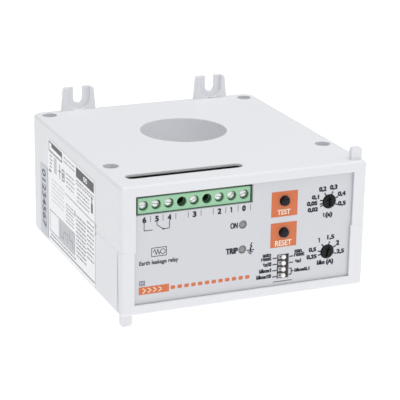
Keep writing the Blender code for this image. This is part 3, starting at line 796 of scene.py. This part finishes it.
DIVIDERS = (-38, -33.1, -28.1, -23.2, -18.1, -13.2, -8.2, -3.2, 1.9)
CHEVRONS = (-41.0, -38.9, -36.8, -34.7)
FINE_BOLDNESS = 0.12


def print_fascia():
    """All that is printed on the fascia, as one piece for each colour of ink."""
    dark = [lettering(words, box, THIN_WORDS.get(words, BOLDNESS)) for words, box in DARK_WORDS]
    for place in ONES:
        dark += figure_one(*place)
    for place in SMALL_TS:
        dark += small_t(*place)
    dark += scale_ticks("time_dial", TIME_TICKS) + scale_ticks("current_dial", CURRENT_TICKS)
    dark += contact_symbol() + relay_symbol() + double_square() + earth_fault_symbol() + switch_leads()
    print_piece("fascia_dark_print", dark, finishes["ink"])

    dividers = [stroke((x, 10.5), (x, 12.9), 0.22) for x in DIVIDERS]
    print_piece("fascia_dividers", dividers, finishes["grey_ink"])

    orange = [orange_square("test_button", 6.4, 16.4), orange_square("reset_button", -5.8, 4.0)]
    orange.append(slab("bar", (-42.5, -30.5), print_span(), (-17.5, -14.5)))
    orange += [orange_dash(number) for number in range(DASH_COUNT)]
    print_piece("fascia_orange_print", orange, finishes["orange"])

    pale = [lettering("TEST", (13.1, 18.4, 7.2, 9.2), FINE_BOLDNESS)]
    pale.append(lettering("RESET", (12.5, 19.3, -5.3, -3.1), FINE_BOLDNESS))
    for start in CHEVRONS:
        pale += path([(start, -16.9), (start + 1.3, -16.0), (start, -15.1)], 0.34)
    shifted(pale, -PRINT_THICKNESS)
    print_piece("fascia_pale_print", pale, finishes["pale_ink"])


# Labels on the left face. They are drawn on the fascia's plane and turned round to the side. A place on the
# rating label is its distance from the case's rear and its height.


WORD_LENGTHS = (1.9, 0.9, 2.6, 1.3, 0.7, 2.2)
WORD_GAP = 0.55
LABEL_FRONT_END = 79.3
LABEL_FOOT, LABEL_HEIGHT = -23.0, 42.0
LABEL_LEAN = 0.028
FRONT_SHIFT = LABEL_FRONT_END + low_corner("rating_label").y


def to_left_face(piece):
    """Takes what was drawn in front of the fascia to the left face. Its right-hand end goes to the front."""
    piece.rotation_euler = (0, 0, -math.pi / 2)
    piece.location.x = (LEFT_FACE + LABEL_SKIN - FILM) * MM
    only(piece)
    bpy.ops.object.transform_apply(location=True, rotation=True, scale=True)
    return piece


def sticker(node, look, corner):
    """A thinner copy of a label's solid, with rounded corners."""
    piece = merged_copy(node, node + "_sheet")
    face = low_corner(node).x
    select_edges(piece, lambda place: place.x < face + LABEL_SKIN)
    bpy.ops.transform.translate(value=(LABEL_SKIN * MM, 0, 0))
    bpy.ops.object.mode_set(mode="OBJECT")
    round_corners(piece, 0, corner)
    return fit(piece, finishes[look], stands_for=(node,))


def on_label(place):
    """Leans a place on the rating label with its upper edge, which rises towards the rear."""
    along, level = place
    lean = LABEL_LEAN * max(0.0, level - LABEL_FOOT) / LABEL_HEIGHT
    return (along - FRONT_SHIFT, level + lean * (LABEL_FRONT_END - along))


def label_stroke(start, end, width):
    return stroke(on_label(start), on_label(end), width)


def label_path(points, width):
    return [label_stroke(start, end, width) for start, end in zip(points, points[1:])]


def text_rows(left, right, levels, width=0.4):
    """Fine print, as rows of dashes as long as words."""
    shortest = 0.5
    dashes = []
    for number, level in enumerate(levels):
        start, word = left, number
        while start < right - shortest:
            end = min(start + WORD_LENGTHS[word % len(WORD_LENGTHS)], right)
            dashes.append(label_stroke((start, level), (end, level), width))
            start, word = end + WORD_GAP, word + 1
    return dashes


def frame_lines(left, right, low, high, width):
    return label_path([(left, low), (right, low), (right, high), (left, high), (left, low)], width)


def steps_between(first, last, step):
    return [first + step * number for number in range(round((last - first) / step) + 1)]


def print_labels():
    """Plain marks and rows of dashes on the rating label, and the figures of the serial label."""
    dark = frame_lines(22.6, 39.6, 14.3, 17.9, 0.5)
    dark += [label_stroke((26.0, 17.0), (39.4, 16.8), 1.5), label_stroke((57.4, 16.1), (78.4, 16.1), 3.9)]
    dark += [label_stroke((76.2, 12.0), (76.2, 9.0), 0.9), label_stroke((76.2, 9.3), (76.2, 5.6), 2.0)]
    dark += [label_stroke((22.3, 6.2), (25.4, 6.2), 0.8), label_stroke((55.6, -0.4), (55.6, -2.6), 0.8)]
    dark += [label_stroke((36.6, 12.6), (36.6, 6.6), 0.5), label_stroke((35.2, 9.6), (38.0, 9.6), 0.5)]
    dark += frame_lines(39.6, 42.4, 7.2, 11.4, 0.45) + frame_lines(40.5, 41.5, 8.5, 10.1, 0.35)
    dark.append(label_stroke((22.4, -21.7), (78.9, -21.7), 0.4))
    print_piece("rating_dark_print", [to_left_face(piece) for piece in dark], finishes["label_ink"])

    fine = text_rows(42.0, 55.5, (17.1, 15.5), 0.4) + text_rows(57.6, 78.4, (12.7, 11.5), 0.45)
    fine += text_rows(45.0, 55.0, (11.6, 9.9, 8.2, 6.5)) + text_rows(58.5, 73.0, (9.6, 8.0, 6.4, 4.8))
    fine += text_rows(23.6, 27.0, (12.5, 11.0, 9.5, 8.0), 0.5)
    fine += text_rows(44.5, 54.0, steps_between(-8.0, -1.0, 1.4), 0.35)
    fine += text_rows(57.2, 69.0, steps_between(-17.8, -1.6, 1.62), 0.55)
    fine += text_rows(70.2, 78.2, steps_between(-14.0, 0.4, 1.8), 0.5)
    fine += text_rows(24.0, 56.0, (-20.1,), 0.5)
    fine += [label_stroke((43.0, 2.9), (78.9, 2.5), 0.28)]
    fine += frame_lines(23.0, 54.8, -18.7, -10.1, 0.28)
    fine += label_path([(37, -12), (37, -16.8), (41, -16.8), (41, -13.6), (46, -13.6), (46, -17)], 0.35)
    fine += label_path([(48.5, -11.8), (48.5, -14.4), (52.4, -14.4), (52.4, -17.2)], 0.4)
    print_piece("rating_fine_print", [to_left_face(piece) for piece in fine], finishes["fine_ink"])

    wash = [label_stroke((30.9, 13.2), (30.9, 6.9), 3.4), label_stroke((34.5, -14.4), (54.5, -14.4), 8.0)]
    wash += text_rows(26.0, 42.0, (3.4, 1.7, 0.0, -1.7, -3.4, -5.1), 0.4)
    print_piece("rating_wash", [to_left_face(piece) for piece in set_back(wash)], finishes["wash_ink"])

    mark = set_forward([lettering("00", (66.2 - FRONT_SHIFT, 70.6 - FRONT_SHIFT, 15.3, 17.4), 0.1)])
    mark = [to_left_face(piece) for piece in mark]
    print_piece("rating_pale_print", mark, finishes["label"])

    low, high = low_corner("serial_label"), high_corner("serial_label")
    box = (-high.y + 2.6, -low.y - 2.6, low.z + 3.6, high.z - 1.8)
    digits = lettering("01234567", box, 0.14, reads_down=True)
    print_piece("serial_print", [to_left_face(digits)], finishes["label_ink"])


# Pieces that stand for plain solids.


CASE_HALF_WIDTH = 50
WINDOW_SIDES = (-44, 44.5)
REAR_CORNER = 4.0
FRONT_CORNER = 1.5
# Radii, and distances behind a piece's own front.
SHANK = 1.1
HEAD = 1.75
HEAD_DEPTH = 1.1
SLOT_HALF_WIDTH = 0.23
SLOT_DEPTH = 0.85
CAP, FLANGE, STEM = 1.8, 2.35, 1.2
FLANGE_DEPTH, FLANGE_BACK = 13.6, 14.4
LENS, LENS_FLANGE = 1.5, 1.9
LENS_DEPTH = 3.65
KNOB = 0.92
KNOB_DEPTH = 1.02
KNOB_NECK = 0.2
SLIDER_TRAVEL = 1.1
# How each driver slot is turned, in degrees, by the number printed under its terminal.
SCREW_TURNS = {"6": 0, "5": 5, "4": 8, "3": -32, "2": 12, "1": -38, "0": -15}


def terminal_screw(label, turn):
    """A clamp screw with a domed, slotted head."""
    node = f"terminal_screw_{label}"
    centre, face, back = middle_of(node), low_corner(node).y, high_corner(node).y
    dome = [(0.5, face), (1.05, face + 0.09), (1.5, face + 0.24), (HEAD, face + 0.5)]
    head = [(HEAD, face + HEAD_DEPTH), (SHANK, face + HEAD_DEPTH)]
    shank = [(SHANK, back - 0.4), (0.7, back)]
    screw = lathe(f"clamp_screw_{label}", (centre.x, centre.z), dome + head + shank)
    reach = 2.0
    driver_slot = slab(
        "driver_slot",
        (centre.x - reach, centre.x + reach),
        (face - 0.3, face + SLOT_DEPTH),
        (centre.z - SLOT_HALF_WIDTH, centre.z + SLOT_HALF_WIDTH),
        turn=math.radians(turn),
    )
    carve(screw, driver_slot)
    smooth(screw, 30)
    return fit(screw, finishes["screw"], node, (node,))


def button_cap(node):
    """A domed push-button on its stem, with the flange that keeps it in."""
    centre, face, back = middle_of(node), low_corner(node).y, high_corner(node).y
    dome = [(0.5, face), (1.0, face + 0.05), (1.35, face + 0.15), (1.62, face + 0.34), (CAP, face + 0.65)]
    flange = [(CAP, face + FLANGE_DEPTH), (FLANGE, face + FLANGE_DEPTH), (FLANGE, face + FLANGE_BACK)]
    stem = [(STEM, face + FLANGE_BACK), (STEM, back)]
    cap = lathe(node + "_cap", (centre.x, centre.z), dome + flange + stem, 48)
    smooth(cap, 40)
    return fit(cap, finishes["button"], node, (node,))


def lamp_lens(node):
    """A domed lens with the flange that it is held by."""
    centre, face, back = middle_of(node), low_corner(node).y, high_corner(node).y
    dome = [(0.4, face), (0.85, face + 0.07), (1.2, face + 0.2), (LENS, face + 0.45)]
    flange = [(LENS, face + LENS_DEPTH), (LENS_FLANGE, face + LENS_DEPTH), (LENS_FLANGE, back)]
    lens = lathe(node + "_lens", (centre.x, centre.z), dome + flange)
    smooth(lens, 40)
    return fit(lens, finishes["lamp"], stands_for=(node,))


def slider_knob(node):
    """A round knob with a rounded top, on a thin neck."""
    centre, face, back = middle_of(node), low_corner(node).y, high_corner(node).y
    dome = [(0.4, face), (0.68, face + 0.06), (0.84, face + 0.18), (KNOB, face + 0.4)]
    neck = [(KNOB, face + KNOB_DEPTH), (KNOB_NECK, face + KNOB_DEPTH), (KNOB_NECK, back)]
    knob = lathe(node + "_knob", (centre.x, centre.z), dome + neck, 28)
    smooth(knob, 40)
    return fit(knob, finishes["white"], node, (node,))


def switch_pieces():
    """A slotted cover plate in each of the slide switch's channels, for the knob's neck."""
    half_width, thickness = 0.93, 0.3
    reach = KNOB_NECK + 0.1
    plates = []
    for node in SLIDERS:
        centre = middle_of(node)
        face = low_corner(node).y + 1.15
        plate = slab(
            "plate",
            (centre.x - SLIDER_TRAVEL - 1.03, centre.x + 1.03),
            (face, face + thickness),
            (centre.z - half_width, centre.z + half_width),
        )
        slit = slab(
            "slit",
            (centre.x - SLIDER_TRAVEL - reach, centre.x + reach),
            (face - CLEAR, face + CLEAR),
            (centre.z - reach, centre.z + reach),
        )
        carve(plate, slit)
        plates.append(plate)
    fit(join_pieces("switch_cover_plates", plates), finishes["switch_floor"])


def seam_tongue():
    """The tongue between the two mouldings, just inside their faces all round."""
    inset, wall, half_height = 0.1, 1.0, 0.6
    left, right, back = inset - CASE_HALF_WIDTH, CASE_HALF_WIDTH - inset, -inset
    tongue = slab("seam_tongue", (left, right), (FRONT + inset, back), (-half_height, half_height))
    middle = (FRONT + back) / 2
    round_corners(tongue, 2, REAR_CORNER - inset, 8, lambda place: place.y > middle)
    round_corners(tongue, 2, FRONT_CORNER, 6, lambda place: place.y < middle and abs(place.x) > right - 0.01)
    inside = slab("inside", (left + wall, right - wall), (FRONT + inset + wall, back - wall), (-2, 2))
    window = slab("window", WINDOW_SIDES, (FRONT - CLEAR, FRONT + 5), (-2, 2))
    carve(tongue, inside, window)
    return fit(tongue, finishes["case"])


def soften_case():
    """Rounded mouldings, with a small notch in the seam at the rating label's front edge."""
    for node in ("upper_case_half", "lower_case_half"):
        shell = softened(node, node.replace("_half", "_moulding"), 0.22, degrees=42)
        edge = low_corner("rating_label").y
        sides = (-CASE_HALF_WIDTH - CLEAR, -48.3)
        notch = slab("seam_notch", sides, (edge - 1.2, edge - 0.1), (-2.0, 2.5))
        carve(shell, notch)
        smooth(shell)
        level_faces(shell)
        fit(shell, finishes["case"], stands_for=(node,))
    seam_tongue()


def soften_fittings():
    """Softened copies of the terminal block and the dials."""
    for node, slot, look, width in (
        ("terminal_housing", "terminal_green", "green", 0.12),
        ("time_dial", "black_plastic", "dial", 0.1),
        ("current_dial", "black_plastic", "dial", 0.1),
    ):
        body = node if node.endswith("dial") else BODY
        moulding = softened(node, node + "_moulding", width)
        level_faces(moulding)
        fit(moulding, finishes[look], body, (node,))


SLIDERS = [node for node in NODES if node.startswith("slider_")]

finishes = make_finishes()
place_camera()
build_studio()
soften_case()
soften_fittings()
switch_pieces()
for node in SLIDERS:
    slider_knob(node)
for node in ("test_button", "reset_button"):
    button_cap(node)
for node in ("on_lamp", "trip_lamp"):
    lamp_lens(node)
for label, turn in SCREW_TURNS.items():
    terminal_screw(label, turn)
sticker("rating_label", "label", 0.8)
sticker("serial_label", "serial", 0.6)
print_fascia()
print_labels()

LOOKS = {
    "case": ("upper_case_half", "lower_case_half"),
    "film": ("fascia_plate",),
    "label": ("rating_label",),
    "serial": ("serial_label",),
    "green": ("terminal_housing",),
    "board": ("control_board",),
    "relay": ("output_relay",),
    "core": ("ring_core",),
    "sheets": ("transformer_core",),
    "wire": ("transformer_winding", "secondary_winding", "test_winding"),
    "lamp": ("on_lamp", "trip_lamp"),
    "switch": ("slide_switch_body", "slide_switch_socket"),
}
LOOKS_BY_WORD = (
    ("slider_", "white"),
    ("case_screw", "steel"),
    ("terminal_screw", "steel"),
    ("clamp_cage", "steel"),
    ("contact_bar", "brass"),
)
for node, solid in NODES.items():
    look = next((name for name, nodes in LOOKS.items() if node in nodes), None)
    look = look or next((name for word, name in LOOKS_BY_WORD if node.startswith(word)), "black")
    solid.data.materials.clear()
    solid.data.materials.append(finishes[look])
